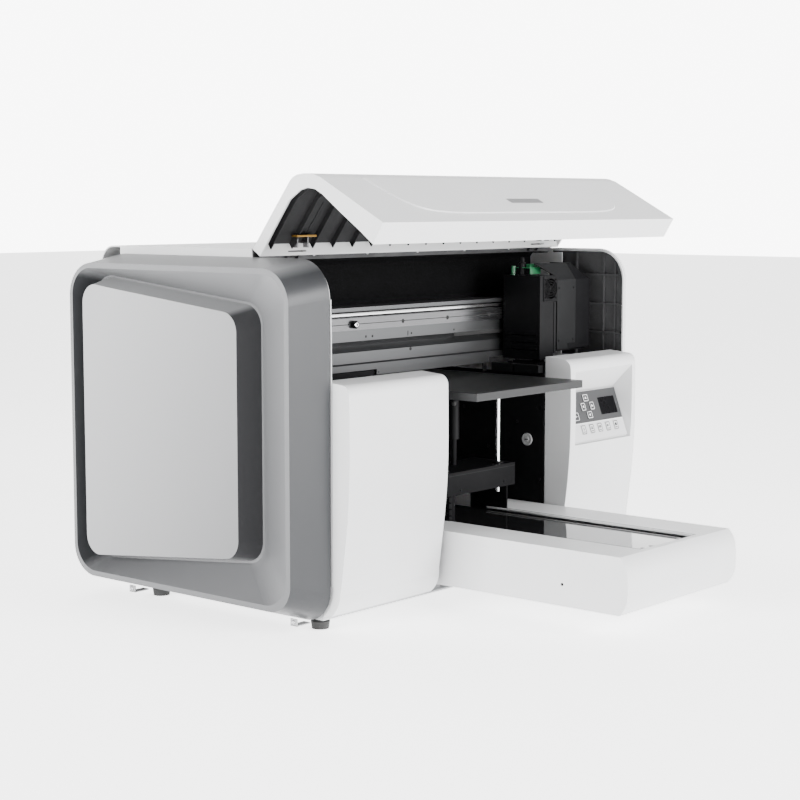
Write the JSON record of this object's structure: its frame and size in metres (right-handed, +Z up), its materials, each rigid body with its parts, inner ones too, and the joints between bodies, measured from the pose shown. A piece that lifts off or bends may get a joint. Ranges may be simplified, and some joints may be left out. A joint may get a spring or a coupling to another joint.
{
  "type": "flatbed uv printer",
  "caption": "Flatbed UV printer with a sliding and lifting table, a print carriage on a cross beam, a hinged front lid and a sloping control panel.",
  "frame": {"origin": "middle of the footprint box, on the floor", "axes": "+X to the right seen from the front, +Y to the back, +Z up"},
  "size_m": [1.0212, 1.0332, 0.808],
  "materials": {
    "white_cover": "white moulded cover, fine texture",
    "silver_cover": "silver-grey satin lacquer",
    "plaque_silver": "light silver lacquer",
    "dark_liner": "dark grey textured liner",
    "dark_steel": "black powder coat",
    "chassis_steel": "light grey powder coat",
    "rubber": "black",
    "aluminium": "satin anodised",
    "aluminium_dark": "grey anodised",
    "steel": "ground",
    "chrome": "polished",
    "gloss_black": "glossy black",
    "panel_face": "dark membrane",
    "key_dark": "dark key with a light outline",
    "key_white": "white key with a grey outline",
    "lcd": "unlit display",
    "black_plastic": "black",
    "pcb": "green board",
    "belt": "toothed belt"
  },
  "bodies": {
    "base": {"left_end_cover": "silver_cover", "right_end_cover": "white_cover", "left_plaque": "plaque_silver", "right_cover_liner": "dark_liner", "base_pan": "chassis_steel", "rubber_feet": "rubber", "side_frames": "chassis_steel", "top_rear_cover": "white_cover", "rear_panel": "chassis_steel", "hinge_rail": "aluminium", "rear_inner_panel": "dark_liner", "left_front_cover": "white_cover", "right_front_cover": "white_cover", "control_panel": "panel_face", "lcd_screen": "lcd", "opening_walls": "dark_steel", "table_housing": "white_cover", "housing_plate": "gloss_black", "table_rails": "steel", "gantry_beam": "aluminium", "x_linear_rail": "chrome", "x_belt": "belt", "x_motor": "dark_steel", "table_motor": "dark_steel", "beam_lower_plate": "aluminium", "cap_station": "black_plastic", "power_supply": "chassis_steel", "main_board": "pcb", "mains_inlet": "black_plastic"},
    "table": {"table_saddle": "dark_steel", "lift_box": "dark_steel", "guide_bushings": "black_plastic"},
    "lift_screw_body": {"lift_screw": "steel"},
    "platform_body": {"platform": "aluminium_dark", "guide_posts": "chrome", "lift_nut_tube": "black_plastic"},
    "table_screw_body": {"table_screw": "steel"},
    "drive_pulley_body": {"x_drive_pulley": "aluminium"},
    "idler_pulley_body": {"x_idler_pulley": "aluminium"},
    "carriage": {"carriage_frame": "chassis_steel", "carriage_cover": "black_plastic", "print_head": "steel", "uv_lamp": "dark_steel", "carriage_board": "pcb"},
    "fan_rotor": {"carriage_fan": "black_plastic"},
    "cap_body": {"cap_tray": "black_plastic"},
    "lid": {"lid_shell": "white_cover", "lid_liner": "dark_liner", "lid_hinge_leaves": "steel"},
    "rocker": {"power_rocker": "black_plastic"},
    "key_up_body": {"key_up": "key_dark"},
    "key_left_body": {"key_left": "key_dark"},
    "key_right_body": {"key_right": "key_dark"},
    "key_down_body": {"key_down": "key_dark"},
    "key_enter_body": {"key_enter": "key_dark"},
    "key_f1_body": {"key_f1": "key_white"},
    "key_f2_body": {"key_f2": "key_white"},
    "key_f3_body": {"key_f3": "key_white"},
    "key_f4_body": {"key_f4": "key_white"},
    "key_f5_body": {"key_f5": "key_white"}
  },
  "joints": [
    {"name": "lid_hinge", "type": "hinge", "parent": "base", "child": "lid", "pos_m": [0.0366, 0.09262, 0.666], "axis": [1, 0, 0], "range_deg": [0, 53]},
    {"name": "carriage_slide", "type": "slide", "parent": "base", "child": "carriage", "axis": [1, 0, 0], "range_m": [-0.68, 0]},
    {"name": "drive_pulley_spin", "type": "hinge", "parent": "base", "child": "drive_pulley_body", "pos_m": [-0.3914, 0.09663, 0.546], "axis": [0, 0, 1], "range_deg": [-3012, 0]},
    {"name": "idler_pulley_spin", "type": "hinge", "parent": "base", "child": "idler_pulley_body", "pos_m": [0.4646, 0.09663, 0.546], "axis": [0, 0, 1], "range_deg": [-3012, 0]},
    {"name": "table_slide", "type": "slide", "parent": "base", "child": "table", "axis": [0, 1, 0], "range_m": [-0.385, 0.2]},
    {"name": "table_screw_spin", "type": "hinge", "parent": "base", "child": "table_screw_body", "pos_m": [0.0564, -0.00838, 0.0605], "axis": [0, 1, 0], "range_deg": [-6935, 3605]},
    {"name": "lift_slide", "type": "slide", "parent": "table", "child": "platform_body", "axis": [0, 0, 1], "range_m": [-0.04, 0.015]},
    {"name": "lift_screw_spin", "type": "hinge", "parent": "table", "child": "lift_screw_body", "pos_m": [0.0564, 0.01762, 0.26], "axis": [0, 0, 1], "range_deg": [-722, 272]},
    {"name": "fan_spin", "type": "hinge", "parent": "carriage", "child": "fan_rotor", "pos_m": [0.3256, -0.01638, 0.58], "axis": [0, 1, 0], "continuous": true},
    {"name": "cap_lift", "type": "slide", "parent": "base", "child": "cap_body", "axis": [0, 0, 1], "range_m": [-0.004, 0]},
    {"name": "rocker_tilt", "type": "hinge", "parent": "base", "child": "rocker", "pos_m": [-0.3119, 0.50562, 0.072], "axis": [1, 0, 0], "range_deg": [-7, 0]},
    {"name": "key_up_press", "type": "slide", "parent": "base", "child": "key_up_body", "axis": [0, 0.9403, -0.3404], "range_m": [0, 0.0008], "stiffness_N_per_m": 600, "springref_m": -0.0004},
    {"name": "key_left_press", "type": "slide", "parent": "base", "child": "key_left_body", "axis": [0, 0.9403, -0.3404], "range_m": [0, 0.0008], "stiffness_N_per_m": 600, "springref_m": -0.0004},
    {"name": "key_right_press", "type": "slide", "parent": "base", "child": "key_right_body", "axis": [0, 0.9403, -0.3404], "range_m": [0, 0.0008], "stiffness_N_per_m": 600, "springref_m": -0.0004},
    {"name": "key_down_press", "type": "slide", "parent": "base", "child": "key_down_body", "axis": [0, 0.9403, -0.3404], "range_m": [0, 0.0008], "stiffness_N_per_m": 600, "springref_m": -0.0004},
    {"name": "key_enter_press", "type": "slide", "parent": "base", "child": "key_enter_body", "axis": [0, 0.9403, -0.3404], "range_m": [0, 0.0008], "stiffness_N_per_m": 600, "springref_m": -0.0004},
    {"name": "key_f1_press", "type": "slide", "parent": "base", "child": "key_f1_body", "axis": [0, 0.9403, -0.3404], "range_m": [0, 0.0008], "stiffness_N_per_m": 600, "springref_m": -0.0004},
    {"name": "key_f2_press", "type": "slide", "parent": "base", "child": "key_f2_body", "axis": [0, 0.9403, -0.3404], "range_m": [0, 0.0008], "stiffness_N_per_m": 600, "springref_m": -0.0004},
    {"name": "key_f3_press", "type": "slide", "parent": "base", "child": "key_f3_body", "axis": [0, 0.9403, -0.3404], "range_m": [0, 0.0008], "stiffness_N_per_m": 600, "springref_m": -0.0004},
    {"name": "key_f4_press", "type": "slide", "parent": "base", "child": "key_f4_body", "axis": [0, 0.9403, -0.3404], "range_m": [0, 0.0008], "stiffness_N_per_m": 600, "springref_m": -0.0004},
    {"name": "key_f5_press", "type": "slide", "parent": "base", "child": "key_f5_body", "axis": [0, 0.9403, -0.3404], "range_m": [0, 0.0008], "stiffness_N_per_m": 600, "springref_m": -0.0004}
  ],
  "couplings": [
    {"joint": "drive_pulley_spin", "follows": "carriage_slide", "rad_per_m": 77.22},
    {"joint": "idler_pulley_spin", "follows": "carriage_slide", "rad_per_m": 77.22},
    {"joint": "table_screw_spin", "follows": "table_slide", "rad_per_m": 314.16},
    {"joint": "lift_screw_spin", "follows": "lift_slide", "rad_per_m": 314.16}
  ]
}
